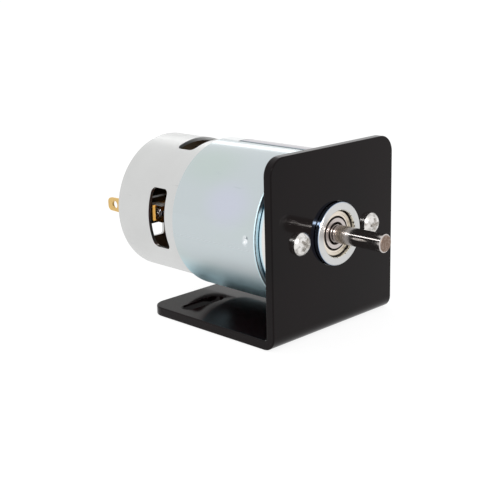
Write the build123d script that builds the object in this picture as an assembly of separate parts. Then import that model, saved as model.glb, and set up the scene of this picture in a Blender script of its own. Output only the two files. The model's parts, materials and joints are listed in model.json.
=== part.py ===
from build123d import *
from math import cos, degrees, radians, sin, tan
import os

# Demonstration motor: a brushed direct-current motor screwed to a bent steel angle bracket.
# Millimetres. +Z is up, the shaft points along -Y and X runs across the bracket.
# The origin lies on the underside of the base, midway between its two mounting slots.
# Everything on the shaft axis is drawn in a turned frame: its Z is the distance behind the
# front of the bracket plate, its X is the part's X and its Y points down.

# Bracket
BRACKET_WIDTH = 50.0
PLATE_THICKNESS = 2.7
SHAFT_HEIGHT = 27.7
PLATE_ABOVE_SHAFT = 24.0
BASE_LENGTH = 50.5
BEND_INNER_RADIUS = 1.0
PLATE_CORNER_RADIUS = 5.0
PLATE_EDGE_RADIUS = 0.35
SLOT_LENGTH = 15.4
SLOT_WIDTH = 4.6
SLOT_SPACING = 27.8
SLOT_FROM_FRONT = 39.6

# Fits and clearances
SEAT_GAP = 0.02
BOSS_HOLE_CLEARANCE = 0.25
SCREW_HOLE_CLEARANCE = 0.25
BUSH_RUNNING_GAP = 0.03
BRUSH_SLIDING_GAP = 0.06
BRUSH_TRACK_GAP = 0.05
TERMINAL_SLOT_GAP = 0.05
AIR_GAP = 0.5
END_FLOAT = 0.3

# Bracket screws, M4 pan head with a cross recess
SCREW_SPACING = 29.0
SCREW_RADIUS = 2.0
SCREW_LENGTH = 6.0
SCREW_HEAD_RADIUS = 3.15
SCREW_HEAD_HEIGHT = 2.3
SCREW_HEAD_SIDE = 0.9
RECESS_RISE = 0.3
RECESS_SPAN = 4.0
RECESS_WIDTH = 1.35
RECESS_DEPTH = 1.6
RECESS_TAPER = 18.0

# Can, a drawn steel cup with a bearing boss on its nose
CAN_RADIUS = 21.0
CAN_WALL = 1.0
CAN_LENGTH = 65.6
CAN_NOSE_RADIUS = 1.5
CAN_REAR_CHAMFER = 0.25
BOSS_RADIUS = 8.75
BOSS_HEIGHT = 4.3
BOSS_EDGE_CHAMFER = 0.25
SEAT_LIP_WALL = 1.0
SEAT_LIP_DEPTH = 1.0
SEAT_LIP_BORE_RADIUS = 5.6
SCREW_COLLAR_RADIUS = 2.9
SCREW_COLLAR_DEPTH = 1.8
WINDOW_COUNT = 4
WINDOW_WIDTH = 18.0
WINDOW_HEIGHT = 7.1
WINDOW_CORNER_RADIUS = 1.6
WINDOW_FROM_REAR = 17.9
WINDOW_DEPTH = 4.0
CRIMP_COUNT = 4
CRIMP_LENGTH = 0.8
CRIMP_DEPTH = 0.7
CRIMP_ARC = 14.0

# Flux ring, a rolled steel sleeve with an open seam near the top
FLUX_RING_WALL = 1.1
FLUX_RING_LENGTH = 32.8
FLUX_RING_FROM_NOSE = 6.7
FLUX_RING_EDGE_CHAMFER = 0.2
SEAM_GAP = 0.35
SEAM_ANGLE = 94.4
SEAM_STEP_ARC = 27.0
SEAM_STEP_FROM_REAR = 7.4
STAKE_RADIUS = 1.1
STAKE_DEPTH = 0.45
STAKE_FROM_RING_FRONT = 3.4

# Field magnets and the spring clips that spread them
MAGNET_THICKNESS = 3.8
MAGNET_ARC = 128.0
MAGNET_LENGTH = 36.0
MAGNET_FROM_NOSE = 4.8
CLIP_THICKNESS = 0.6
CLIP_LENGTH = 30.0
CLIP_END_GAP = 0.5

# Front ball bearing
SHAFT_RADIUS = 2.5
BEARING_OUTER_RADIUS = 6.5
BEARING_WIDTH = 4.0
BEARING_RECESS = 1.3
BEARING_EDGE_CHAMFER = 0.3
BEARING_BORE_CHAMFER = 0.5
INNER_RING_SHOULDER_RADIUS = 4.25
OUTER_RING_SHOULDER_RADIUS = 5.45
BALL_RADIUS = 0.95
BALL_COUNT = 9
GROOVE_EXTRA_RADIUS = 0.04
SHIELD_INSET = 0.15
SHIELD_THICKNESS = 0.25
SHIELD_INNER_RADIUS = 4.65
CAGE_THICKNESS = 0.4
CAGE_WIDTH = 2.4
CAGE_POCKET_GAP = 0.05

# Shaft
SHAFT_REACH = 17.2
SHAFT_REAR_OVERHANG = 0.6
SHAFT_TIP_CHAMFER = 0.35
JOURNAL_RELIEF_WIDTH = 0.9
JOURNAL_RELIEF_DEPTH = 0.2
SPACER_RADIUS = 3.6

# Armature, five wound slots
SLOT_COUNT = 5
COIL_PITCH = 2
CORE_LENGTH = 27.4
SLOT_ROOT_RADIUS = 6.2
TOOTH_WIDTH = 4.6
TOOTH_TIP_THICKNESS = 1.8
SLOT_MOUTH = 1.8
INSULATOR_THICKNESS = 0.6
INSULATOR_INSET = 0.25
COIL_TO_NOSE_GAP = 0.7
COIL_LAYER = 1.1
COIL_LAYER_GAP = 0.15
COIL_SLOT_CLEARANCE = 0.25
COIL_SIDE_GAP = 0.3
COIL_HEAD_END_ANGLE = 8.0
COIL_BOTTOM_RADIUS = 7.0
COIL_LEG_INNER_RADIUS = 11.2
HEAD_INNER_RADIUS = 4.2
HEAD_TO_LEG_GAP = 0.3

# Commutator
COMMUTATOR_RADIUS = 7.0
COMMUTATOR_LENGTH = 11.0
COMMUTATOR_TO_COIL_GAP = 0.8
SEGMENT_THICKNESS = 2.0
SEGMENT_GAP = 0.6
RISER_RADIUS = 8.5
RISER_LENGTH = 1.7
HUB_OVERHANG = 0.4

# Brush gear
CARD_THICKNESS = 2.0
CARD_RIM_WIDTH = 2.3
CARD_SKIRT_WALL = 1.2
CARD_BRIDGE_WIDTH = 7.8
CARD_CENTRE_RADIUS = 8.6
CARD_FIT = 0.05
SLEEVE_WALL = 0.75
SLEEVE_PROUD = 0.5
BRUSH_AXIAL = 5.0
BRUSH_CROSS = 3.9
BRUSH_LENGTH = 5.5
BRUSH_FROM_COMMUTATOR_END = 1.8
HOLDER_WALL = 0.5
HOLDER_TO_TRACK_GAP = 2.2
HOLDER_SLIT = 1.8
HOLDER_SLIT_START = 2.3
TERMINAL_FROM_CAN_BORE = 3.7
TERMINAL_THICKNESS = 0.8
TERMINAL_WIDTH = 4.7
TERMINAL_TIP_WIDTH = 4.1
TERMINAL_REACH = 10.5
TERMINAL_INNER_LAP = 3.5
TERMINAL_CORNER_RADIUS = 1.5
TERMINAL_EYE_RADIUS = 1.2
TERMINAL_EYE_FROM_TIP = 3.3
SPRING_RADIUS = 1.7
SPRING_WIRE_RADIUS = 0.18
SPRING_PITCH = 0.75
SPRING_WIRE_SIDES = 6

# End bell and rear bush
BELL_THICKNESS = 1.2
BELL_CUP_RADIUS = 6.2
BELL_CUP_DEPTH = 3.9
BELL_CUP_WALL = 1.0
BELL_SHAFT_HOLE_RADIUS = 3.3
BELL_VENT_INNER = 4.7
BELL_VENT_LOWER = 5.1
BELL_VENT_WIDTH = 6.6
BELL_VENT_HEIGHT = 4.9
BELL_VENT_CORNER_RADIUS = 1.0
BUSH_PROUD = 0.3
WASHER_RADIUS = 4.2
WASHER_THICKNESS = 0.35
WASHER_COUNT = 2

# Stations along the shaft, behind the front of the bracket plate
NOSE = PLATE_THICKNESS
CAN_INSIDE = NOSE + CAN_WALL
CAN_REAR = NOSE + CAN_LENGTH
BOSS_FACE = NOSE - BOSS_HEIGHT
BEARING_FRONT = BOSS_FACE + BEARING_RECESS
BEARING_REAR = BEARING_FRONT + BEARING_WIDTH
BEARING_MIDDLE = (BEARING_FRONT + BEARING_REAR) / 2
SEAT_LIP_REAR = BEARING_REAR + SEAT_LIP_DEPTH
WINDOW_MIDDLE = CAN_REAR - WINDOW_FROM_REAR
RING_FRONT = NOSE + FLUX_RING_FROM_NOSE
RING_REAR = RING_FRONT + FLUX_RING_LENGTH
MAGNET_FRONT = NOSE + MAGNET_FROM_NOSE
HEAD_STEP = COIL_LAYER + COIL_LAYER_GAP
HEAD_DEPTH = SLOT_COUNT * HEAD_STEP
FRONT_COIL_END = CAN_INSIDE + SCREW_COLLAR_DEPTH + COIL_TO_NOSE_GAP
CORE_FRONT = FRONT_COIL_END + HEAD_DEPTH + INSULATOR_THICKNESS
CORE_REAR = CORE_FRONT + CORE_LENGTH
REAR_COIL_START = CORE_REAR + INSULATOR_THICKNESS
REAR_COIL_END = REAR_COIL_START + HEAD_DEPTH
HUB_FRONT = REAR_COIL_END + COMMUTATOR_TO_COIL_GAP
SEGMENT_FRONT = HUB_FRONT + HUB_OVERHANG
SEGMENT_REAR = SEGMENT_FRONT + RISER_LENGTH + COMMUTATOR_LENGTH
HUB_REAR = SEGMENT_REAR + HUB_OVERHANG
BRUSH_REAR = SEGMENT_REAR - BRUSH_FROM_COMMUTATOR_END
BRUSH_FRONT = BRUSH_REAR - BRUSH_AXIAL
BRUSH_MIDDLE = (BRUSH_FRONT + BRUSH_REAR) / 2
HOLDER_FRONT = BRUSH_FRONT - BRUSH_SLIDING_GAP - HOLDER_WALL
HOLDER_REAR = BRUSH_REAR + BRUSH_SLIDING_GAP + HOLDER_WALL
BELL_REAR = CAN_REAR - CRIMP_LENGTH
BELL_FRONT = BELL_REAR - BELL_THICKNESS
CUP_REAR = BELL_REAR + BELL_CUP_DEPTH
BUSH_FRONT = BELL_FRONT - BUSH_PROUD
BUSH_REAR = CUP_REAR - BELL_CUP_WALL
WASHER_REAR = BUSH_FRONT - END_FLOAT
WASHER_FRONT = WASHER_REAR - WASHER_COUNT * WASHER_THICKNESS
SHAFT_TIP = -SHAFT_REACH
SHAFT_REAR = CUP_REAR + SHAFT_REAR_OVERHANG
TERMINAL_TIP = CAN_REAR + TERMINAL_REACH
TERMINAL_FRONT = HOLDER_REAR - TERMINAL_INNER_LAP
TERMINAL_TAPER_START = CAN_REAR

# Radii and angles
CAN_BORE_RADIUS = CAN_RADIUS - CAN_WALL
RING_INNER_RADIUS = CAN_RADIUS + SEAT_GAP
RING_OUTER_RADIUS = RING_INNER_RADIUS + FLUX_RING_WALL
MAGNET_OUTER_RADIUS = CAN_BORE_RADIUS - SEAT_GAP
MAGNET_INNER_RADIUS = MAGNET_OUTER_RADIUS - MAGNET_THICKNESS
CORE_RADIUS = MAGNET_INNER_RADIUS - AIR_GAP
SLOT_TOP_RADIUS = CORE_RADIUS - TOOTH_TIP_THICKNESS
COIL_TOP_RADIUS = SLOT_TOP_RADIUS - COIL_SLOT_CLEARANCE
HEAD_OUTER_RADIUS = COIL_LEG_INNER_RADIUS - HEAD_TO_LEG_GAP
SLOT_STEP = 360.0 / SLOT_COUNT
HUB_RADIUS = COMMUTATOR_RADIUS - SEGMENT_THICKNESS
BALL_PITCH_RADIUS = (INNER_RING_SHOULDER_RADIUS + OUTER_RING_SHOULDER_RADIUS) / 2
GROOVE_RADIUS = BALL_RADIUS + GROOVE_EXTRA_RADIUS
BRUSH_INNER_RADIUS = COMMUTATOR_RADIUS + BRUSH_TRACK_GAP
BRUSH_OUTER_RADIUS = BRUSH_INNER_RADIUS + BRUSH_LENGTH
HOLDER_INNER_END = COMMUTATOR_RADIUS + HOLDER_TO_TRACK_GAP
TERMINAL_OFFSET = CAN_BORE_RADIUS - TERMINAL_FROM_CAN_BORE
HOLDER_OUTER_END = TERMINAL_OFFSET - TERMINAL_THICKNESS / 2
BELL_RADIUS = CAN_BORE_RADIUS - SEAT_GAP

PLATE_FRONT_Y = -SLOT_FROM_FRONT
SHAFT_FRAME = Plane(
    origin=(0, PLATE_FRONT_Y, SHAFT_HEIGHT), x_dir=(1, 0, 0), z_dir=(0, 1, 0)
)


def turned(*profile):
    """Solid of revolution about the shaft axis, from its (radius, station) corners."""
    outline = make_face(Polyline(*profile, close=True))
    return revolve(Plane.XZ * outline, Axis.Z)


def tube(inner_radius, outer_radius, front, rear):
    """Straight tube about the shaft axis between two stations."""
    wall = Circle(outer_radius) - Circle(inner_radius)
    return Pos(0, 0, front) * extrude(wall, rear - front)


def rod(radius, front, rear):
    """Round bar about the shaft axis between two stations."""
    return Pos(0, 0, front) * extrude(Circle(radius), rear - front)


def block(x_range, y_range, z_range):
    """Box between two limits on each axis of the turned frame."""
    sizes = [high - low for low, high in (x_range, y_range, z_range)]
    middle = [(high + low) / 2 for low, high in (x_range, y_range, z_range)]
    return Pos(*middle) * Box(*sizes)


def round_edges(shape, radius, station):
    """The circular edges of one radius that lie at one station."""
    return [
        edge
        for edge in shape.edges().filter_by(GeomType.CIRCLE)
        if abs(edge.radius - radius) < SEAT_GAP / 2 and abs(edge.center().Z - station) < SEAT_GAP / 2
    ]


def arc_piece(inner_radius, outer_radius, front, rear, arc, middle_angle):
    """Part of a tube that spans an arc about a middle angle."""
    profile = make_face(
        Polyline(
            (inner_radius, front), (outer_radius, front), (outer_radius, rear), (inner_radius, rear),
            close=True,
        )
    )
    swept = revolve(Plane.XZ * profile, Axis.Z, revolution_arc=arc)
    return Rot(0, 0, middle_angle - arc / 2) * swept


def bracket():
    """Angle bracket bent from one strip, with the motor's holes and two slots in the base."""
    top = SHAFT_HEIGHT + PLATE_ABOVE_SHAFT
    front = PLATE_FRONT_Y
    corners = [
        (front, 0), (front + BASE_LENGTH, 0), (front + BASE_LENGTH, PLATE_THICKNESS),
        (front + PLATE_THICKNESS, PLATE_THICKNESS), (front + PLATE_THICKNESS, top), (front, top),
    ]
    profile = make_face(Polyline(*corners, close=True))
    outer_bend = profile.vertices().sort_by_distance(Vector(front, 0, 0))[0]
    profile = fillet(outer_bend, BEND_INNER_RADIUS + PLATE_THICKNESS)
    inner_corner = Vector(front + PLATE_THICKNESS, PLATE_THICKNESS, 0)
    profile = fillet(profile.vertices().sort_by_distance(inner_corner)[0], BEND_INNER_RADIUS)
    angle = extrude(Plane.YZ * profile, BRACKET_WIDTH / 2, both=True)
    angle = fillet(angle.edges().filter_by(Axis.Y).group_by(Axis.Z)[-1], PLATE_CORNER_RADIUS)
    angle = fillet(angle.edges().filter_by(Axis.Z).group_by(Axis.Y)[-1], PLATE_CORNER_RADIUS)
    angle = fillet(angle.edges(), PLATE_EDGE_RADIUS)
    depth = 4 * PLATE_THICKNESS
    boss_hole = Cylinder(BOSS_RADIUS + BOSS_HOLE_CLEARANCE, depth)
    screw_hole = Cylinder(SCREW_RADIUS + SCREW_HOLE_CLEARANCE, depth)
    angle -= SHAFT_FRAME * boss_hole
    for side in (-1, 1):
        angle -= SHAFT_FRAME * (Pos(side * SCREW_SPACING / 2, 0, 0) * screw_hole)
        slot = extrude(SlotOverall(SLOT_LENGTH, SLOT_WIDTH), depth / 2, both=True)
        angle -= Pos(side * SLOT_SPACING / 2, 0, 0) * slot
    return angle


def bracket_screw():
    """Pan-head screw with a cross recess, its head against the front of the plate."""
    side = Line((SCREW_HEAD_RADIUS, 0), (SCREW_HEAD_RADIUS, -SCREW_HEAD_SIDE))
    crown_rise = SCREW_HEAD_HEIGHT - SCREW_HEAD_SIDE
    middle = (SCREW_HEAD_RADIUS * cos(radians(45)), -SCREW_HEAD_SIDE - crown_rise * sin(radians(45)))
    crown = ThreePointArc((SCREW_HEAD_RADIUS, -SCREW_HEAD_SIDE), middle, (0, -SCREW_HEAD_HEIGHT))
    shank = Polyline(
        (0, -SCREW_HEAD_HEIGHT), (0, SCREW_LENGTH), (SCREW_RADIUS, SCREW_LENGTH), (SCREW_RADIUS, 0),
        (SCREW_HEAD_RADIUS, 0),
    )
    screw = revolve(Plane.XZ * make_face([side, crown, shank]), Axis.Z)
    wing = extrude(Rectangle(RECESS_SPAN, RECESS_WIDTH), RECESS_DEPTH, taper=RECESS_TAPER)
    for angle in (0, 90):
        screw -= Pos(0, 0, -SCREW_HEAD_HEIGHT - RECESS_RISE) * Rot(0, 0, angle) * wing
    return screw


def bracket_screws():
    """The two screws that hold the motor to the plate."""
    screw = bracket_screw()
    turned_screw = Rot(0, 0, 35) * screw
    return [
        Pos(-SCREW_SPACING / 2, 0, 0) * turned_screw,
        Pos(SCREW_SPACING / 2, 0, 0) * screw,
    ]


def can_shell():
    """The drawn cup: side wall, nose, bearing boss and the lip the bearing stops on."""
    bore = BEARING_OUTER_RADIUS + SEAT_GAP
    lip_radius = bore + SEAT_LIP_WALL
    shell = turned(
        (bore, BOSS_FACE), (BOSS_RADIUS, BOSS_FACE), (BOSS_RADIUS, NOSE), (CAN_RADIUS, NOSE),
        (CAN_RADIUS, CAN_REAR), (CAN_BORE_RADIUS, CAN_REAR), (CAN_BORE_RADIUS, CAN_INSIDE),
        (lip_radius, CAN_INSIDE), (lip_radius, SEAT_LIP_REAR), (SEAT_LIP_BORE_RADIUS, SEAT_LIP_REAR),
        (SEAT_LIP_BORE_RADIUS, BEARING_REAR), (bore, BEARING_REAR),
    )
    shell = fillet(round_edges(shell, CAN_RADIUS, NOSE), CAN_NOSE_RADIUS)
    shell = chamfer(round_edges(shell, CAN_RADIUS, CAN_REAR), CAN_REAR_CHAMFER)
    boss_rims = round_edges(shell, BOSS_RADIUS, BOSS_FACE) + round_edges(shell, bore, BOSS_FACE)
    return chamfer(boss_rims, BOSS_EDGE_CHAMFER)


def motor_can():
    """Can with its vent windows, tapped screw collars and the stakes that hold the end bell."""
    can = can_shell()
    wall_face = Plane(origin=(CAN_RADIUS, 0, WINDOW_MIDDLE), x_dir=(0, 1, 0), z_dir=(1, 0, 0))
    outline = wall_face * RectangleRounded(WINDOW_WIDTH, WINDOW_HEIGHT, WINDOW_CORNER_RADIUS)
    opening = extrude(outline, WINDOW_DEPTH, both=True)
    for number in range(WINDOW_COUNT):
        can -= Rot(0, 0, number * 360.0 / WINDOW_COUNT) * opening
    screw_bore = SCREW_RADIUS + SEAT_GAP
    for side in (-1, 1):
        place = Pos(side * SCREW_SPACING / 2, 0, 0)
        can += place * tube(screw_bore, SCREW_COLLAR_RADIUS, CAN_INSIDE, CAN_INSIDE + SCREW_COLLAR_DEPTH)
        can -= place * rod(screw_bore, NOSE - CAN_WALL, CAN_INSIDE + CAN_WALL)
    for number in range(CRIMP_COUNT):
        angle = (number + 0.5) * 360.0 / CRIMP_COUNT
        can += arc_piece(
            CAN_BORE_RADIUS - CRIMP_DEPTH, CAN_BORE_RADIUS + CAN_WALL / 2,
            BELL_REAR + SEAT_GAP, CAN_REAR - CAN_REAR_CHAMFER, CRIMP_ARC, angle,
        )
    return can


def seam_slit(angle, front, rear):
    """Space along one straight run of the ring's seam."""
    slit = block(
        (CAN_RADIUS - CAN_WALL, RING_OUTER_RADIUS + FLUX_RING_WALL), (-SEAM_GAP / 2, SEAM_GAP / 2),
        (front, rear),
    )
    return Rot(0, 0, -angle) * slit


def flux_ring():
    """Rolled steel sleeve round the can, open along a stepped seam, with a punched stake mark."""
    ring = tube(RING_INNER_RADIUS, RING_OUTER_RADIUS, RING_FRONT, RING_REAR)
    rims = round_edges(ring, RING_OUTER_RADIUS, RING_FRONT) + round_edges(ring, RING_OUTER_RADIUS, RING_REAR)
    ring = chamfer(rims, FLUX_RING_EDGE_CHAMFER)
    step = RING_REAR - SEAM_STEP_FROM_REAR
    ring -= seam_slit(SEAM_ANGLE, RING_FRONT - FLUX_RING_WALL, step + SEAM_GAP / 2)
    ring -= seam_slit(SEAM_ANGLE - SEAM_STEP_ARC, step - SEAM_GAP / 2, RING_REAR + FLUX_RING_WALL)
    ring -= arc_piece(
        CAN_RADIUS - CAN_WALL, RING_OUTER_RADIUS + FLUX_RING_WALL, step - SEAM_GAP / 2,
        step + SEAM_GAP / 2, SEAM_STEP_ARC, SEAM_STEP_ARC / 2 - SEAM_ANGLE,
    )
    stake = Rot(0, -90, 0) * Cone(STAKE_RADIUS / 2, STAKE_RADIUS, STAKE_DEPTH)
    stake_middle = RING_OUTER_RADIUS - STAKE_DEPTH / 2
    return ring - Pos(-stake_middle, 0, RING_FRONT + STAKE_FROM_RING_FRONT) * stake


def field_magnet(side):
    """Ceramic arc magnet glued in the can on one side of the armature."""
    angle = 0 if side > 0 else 180
    return arc_piece(
        MAGNET_INNER_RADIUS, MAGNET_OUTER_RADIUS, MAGNET_FRONT, MAGNET_FRONT + MAGNET_LENGTH,
        MAGNET_ARC, angle,
    )


def magnet_clip(angle):
    """Sprung strip along the can wall that spreads the two magnets apart."""
    arc = 180.0 - MAGNET_ARC - 2 * degrees(CLIP_END_GAP / MAGNET_OUTER_RADIUS)
    front = MAGNET_FRONT + (MAGNET_LENGTH - CLIP_LENGTH) / 2
    return arc_piece(
        MAGNET_OUTER_RADIUS - CLIP_THICKNESS, MAGNET_OUTER_RADIUS, front, front + CLIP_LENGTH, arc, angle
    )


def ball_groove():
    """Ring-shaped space that the balls roll in."""
    section = Pos(BALL_PITCH_RADIUS, BEARING_MIDDLE) * Circle(GROOVE_RADIUS)
    return revolve(Plane.XZ * section, Axis.Z)


def bearing_outer_ring():
    """Fixed race, seated in the boss, with a rebate at each side for its shield."""
    ring = tube(OUTER_RING_SHOULDER_RADIUS, BEARING_OUTER_RADIUS, BEARING_FRONT, BEARING_REAR)
    ring = chamfer(
        round_edges(ring, BEARING_OUTER_RADIUS, BEARING_FRONT)
        + round_edges(ring, BEARING_OUTER_RADIUS, BEARING_REAR),
        BEARING_EDGE_CHAMFER,
    )
    return ring - ball_groove()


def bearing_shield(front):
    """Pressed steel shield that closes the bearing at one side."""
    return tube(
        SHIELD_INNER_RADIUS, OUTER_RING_SHOULDER_RADIUS - SEAT_GAP, front, front + SHIELD_THICKNESS
    )


def bearing_inner_ring():
    """Turning race, pressed on the shaft."""
    bore = SHAFT_RADIUS + SEAT_GAP
    ring = tube(bore, INNER_RING_SHOULDER_RADIUS, BEARING_FRONT, BEARING_REAR)
    ring = chamfer(
        round_edges(ring, bore, BEARING_FRONT) + round_edges(ring, bore, BEARING_REAR),
        BEARING_BORE_CHAMFER,
    )
    return ring - ball_groove()


def ball_place(number):
    """Location of one ball of the bearing."""
    return Rot(0, 0, number * 360.0 / BALL_COUNT) * Pos(BALL_PITCH_RADIUS, 0, BEARING_MIDDLE)


def ball_cage():
    """Band that keeps the balls apart, with a round pocket for each."""
    band = tube(
        BALL_PITCH_RADIUS - CAGE_THICKNESS / 2, BALL_PITCH_RADIUS + CAGE_THICKNESS / 2,
        BEARING_MIDDLE - CAGE_WIDTH / 2, BEARING_MIDDLE + CAGE_WIDTH / 2,
    )
    pocket = Rot(0, 90, 0) * Cylinder(BALL_RADIUS + CAGE_POCKET_GAP, 4 * CAGE_THICKNESS)
    for number in range(BALL_COUNT):
        band -= ball_place(number) * pocket
    return band


def bearing_balls():
    """The loose balls between the two races."""
    ball = Sphere(BALL_RADIUS)
    return [ball_place(number) * ball for number in range(BALL_COUNT)]


def shaft():
    """Round steel shaft, chamfered at both ends, with a grinding relief before the bearing."""
    bar = rod(SHAFT_RADIUS, SHAFT_TIP, SHAFT_REAR)
    tips = round_edges(bar, SHAFT_RADIUS, SHAFT_TIP) + round_edges(bar, SHAFT_RADIUS, SHAFT_REAR)
    relief = tube(
        SHAFT_RADIUS - JOURNAL_RELIEF_DEPTH, SHAFT_RADIUS + JOURNAL_RELIEF_DEPTH,
        BEARING_FRONT - JOURNAL_RELIEF_WIDTH, BEARING_FRONT,
    )
    return chamfer(tips, SHAFT_TIP_CHAMFER) - relief


def spacer_sleeve():
    """Sleeve that sets the armature back from the bearing."""
    return tube(
        SHAFT_RADIUS + SEAT_GAP, SPACER_RADIUS, BEARING_REAR + SEAT_GAP, CORE_FRONT - INSULATOR_THICKNESS
    )


def slot_wedge(tooth_clearance, bottom_radius, top_radius):
    """Space between two teeth, about +X, between two radii and off the tooth flanks."""
    half_angle = radians(SLOT_STEP / 2)
    apex = (TOOTH_WIDTH / 2 + tooth_clearance) / sin(half_angle)
    reach = 2 * CORE_RADIUS
    spread = (reach - apex) * tan(half_angle)
    wedge = make_face(Polyline((apex, 0), (reach, -spread), (reach, spread), close=True))
    return wedge & (Circle(top_radius) - Circle(bottom_radius))


def slot_angle(number):
    """Direction of one slot's centre."""
    return (number + 0.5) * SLOT_STEP


def lamination(inset):
    """Outline of the toothed core, drawn back from its edges by an inset."""
    outline = Circle(CORE_RADIUS - inset) - Circle(SHAFT_RADIUS + SEAT_GAP)
    mouth = Pos(CORE_RADIUS, 0) * Rectangle(4 * TOOTH_TIP_THICKNESS, SLOT_MOUTH + 2 * inset)
    slot = slot_wedge(-inset, SLOT_ROOT_RADIUS - inset, SLOT_TOP_RADIUS + inset) + mouth
    for number in range(SLOT_COUNT):
        outline -= Rot(0, 0, slot_angle(number)) * slot
    return outline


def armature_core():
    """Laminated steel core, drawn as one stack."""
    return Pos(0, 0, CORE_FRONT) * extrude(lamination(0), CORE_LENGTH)


def armature_insulator(front):
    """Fibre end plate that keeps the wire off the core's edges."""
    return Pos(0, 0, front) * extrude(lamination(INSULATOR_INSET), INSULATOR_THICKNESS)


def leg_section(side, bottom_radius):
    """Section of one coil leg in its half of a slot that points along +X."""
    reach = 2 * CORE_RADIUS
    half = Pos(reach / 2, side * (reach / 2 + COIL_SIDE_GAP / 2)) * Rectangle(reach, reach)
    return slot_wedge(COIL_SLOT_CLEARANCE, bottom_radius, COIL_TOP_RADIUS) & half


def layer_start(layer, rear):
    """Station of the low side of one layer of the front or the rear coil head."""
    if rear:
        return REAR_COIL_START + COIL_LAYER_GAP + layer * HEAD_STEP
    return FRONT_COIL_END + layer * HEAD_STEP


def armature_coil(number):
    """One coil: two legs through slots two apart, joined by a half turn in each coil head."""
    front_start = layer_start(number, rear=False)
    rear_start = layer_start(number, rear=True)
    rear_end = rear_start + COIL_LAYER
    first = slot_angle(number)
    second = slot_angle(number + COIL_PITCH)
    coil = None
    for side, angle in ((1, first), (-1, second)):
        place = Rot(0, 0, angle)
        leg = place * (
            Pos(0, 0, front_start) * extrude(leg_section(side, COIL_LEG_INNER_RADIUS), rear_end - front_start)
        )
        deep = leg_section(side, COIL_BOTTOM_RADIUS)
        leg += place * (Pos(0, 0, CORE_FRONT) * extrude(deep, CORE_LENGTH))
        for start in (front_start, rear_start):
            leg += place * (Pos(0, 0, start) * extrude(deep, COIL_LAYER))
        coil = leg if coil is None else coil + leg
    arc = COIL_PITCH * SLOT_STEP - 2 * COIL_HEAD_END_ANGLE
    for start in (front_start, rear_start):
        coil += arc_piece(
            HEAD_INNER_RADIUS, HEAD_OUTER_RADIUS, start, start + COIL_LAYER, arc, (first + second) / 2
        )
    return coil


def commutator_hub():
    """Moulded core that carries the copper segments."""
    return tube(SHAFT_RADIUS + SEAT_GAP, HUB_RADIUS, HUB_FRONT, HUB_REAR)


def commutator_segment(number):
    """Copper bar of the commutator with its riser, opposite one tooth."""
    bar = tube(HUB_RADIUS + SEAT_GAP, COMMUTATOR_RADIUS, SEGMENT_FRONT, SEGMENT_REAR)
    bar += tube(HUB_RADIUS + SEAT_GAP, RISER_RADIUS, SEGMENT_FRONT, SEGMENT_FRONT + RISER_LENGTH)
    half_step = SLOT_STEP / 2
    reach = 2 * RISER_RADIUS
    apex = SEGMENT_GAP / 2 / sin(radians(half_step))
    spread = (reach - apex) * tan(radians(half_step))
    sector = make_face(Polyline((apex, 0), (reach, -spread), (reach, spread), close=True))
    keep = Pos(0, 0, SEGMENT_FRONT) * extrude(sector, SEGMENT_REAR - SEGMENT_FRONT)
    return Rot(0, 0, number * SLOT_STEP) * (bar & keep)


def thrust_washers():
    """Washers on the shaft that take up the end float before the rear bush."""
    stations = [WASHER_FRONT + number * WASHER_THICKNESS for number in range(WASHER_COUNT)]
    return [
        tube(SHAFT_RADIUS + SEAT_GAP, WASHER_RADIUS, start, start + WASHER_THICKNESS)
        for start in stations
    ]


def rear_spacer():
    """Sleeve between the commutator and the thrust washers."""
    return tube(SHAFT_RADIUS + SEAT_GAP, SPACER_RADIUS, HUB_REAR, WASHER_FRONT)


def terminal_slot(side, gap):
    """Rectangle that a terminal blade passes through, widened by a gap all round."""
    section = Rectangle(TERMINAL_THICKNESS + 2 * gap, TERMINAL_WIDTH + 2 * gap)
    return Pos(side * TERMINAL_OFFSET, 0) * section


def brush_card():
    """Moulded plate across the can with its skirt, bridges and the sleeves round the terminals."""
    radius = CAN_BORE_RADIUS - CARD_FIT
    inside = radius - CARD_RIM_WIDTH
    bars = Rectangle(2 * inside + CARD_RIM_WIDTH, CARD_BRIDGE_WIDTH)
    bars += Rectangle(CARD_BRIDGE_WIDTH, 2 * inside + CARD_RIM_WIDTH)
    plate = Circle(radius) - (Circle(inside) - bars) - Circle(CARD_CENTRE_RADIUS)
    card = Pos(0, 0, HOLDER_REAR) * extrude(plate, CARD_THICKNESS)
    card += tube(radius - CARD_SKIRT_WALL, radius, HOLDER_REAR, BELL_FRONT)
    through = BELL_REAR + SLEEVE_PROUD - HOLDER_REAR
    for side in (-1, 1):
        sleeve = extrude(terminal_slot(side, TERMINAL_SLOT_GAP + SLEEVE_WALL), through)
        card += Pos(0, 0, HOLDER_REAR) * sleeve
    for side in (-1, 1):
        card -= Pos(0, 0, HOLDER_REAR) * extrude(terminal_slot(side, TERMINAL_SLOT_GAP), through)
    return card


def brush_holder(side):
    """Folded brass box that guides one brush, slit at the front for cooling."""
    half_cross = BRUSH_CROSS / 2 + BRUSH_SLIDING_GAP
    outer = block(
        (HOLDER_INNER_END, HOLDER_OUTER_END), (-half_cross - HOLDER_WALL, half_cross + HOLDER_WALL),
        (HOLDER_FRONT, HOLDER_REAR),
    )
    channel = block(
        (HOLDER_INNER_END - HOLDER_WALL, HOLDER_OUTER_END + HOLDER_WALL), (-half_cross, half_cross),
        (HOLDER_FRONT + HOLDER_WALL, HOLDER_REAR - HOLDER_WALL),
    )
    slit = block(
        (HOLDER_INNER_END + HOLDER_SLIT_START, HOLDER_OUTER_END + HOLDER_WALL),
        (-HOLDER_SLIT / 2, HOLDER_SLIT / 2), (HOLDER_FRONT - HOLDER_WALL, BRUSH_MIDDLE),
    )
    return turn_to(side) * (outer - channel - slit)


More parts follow.
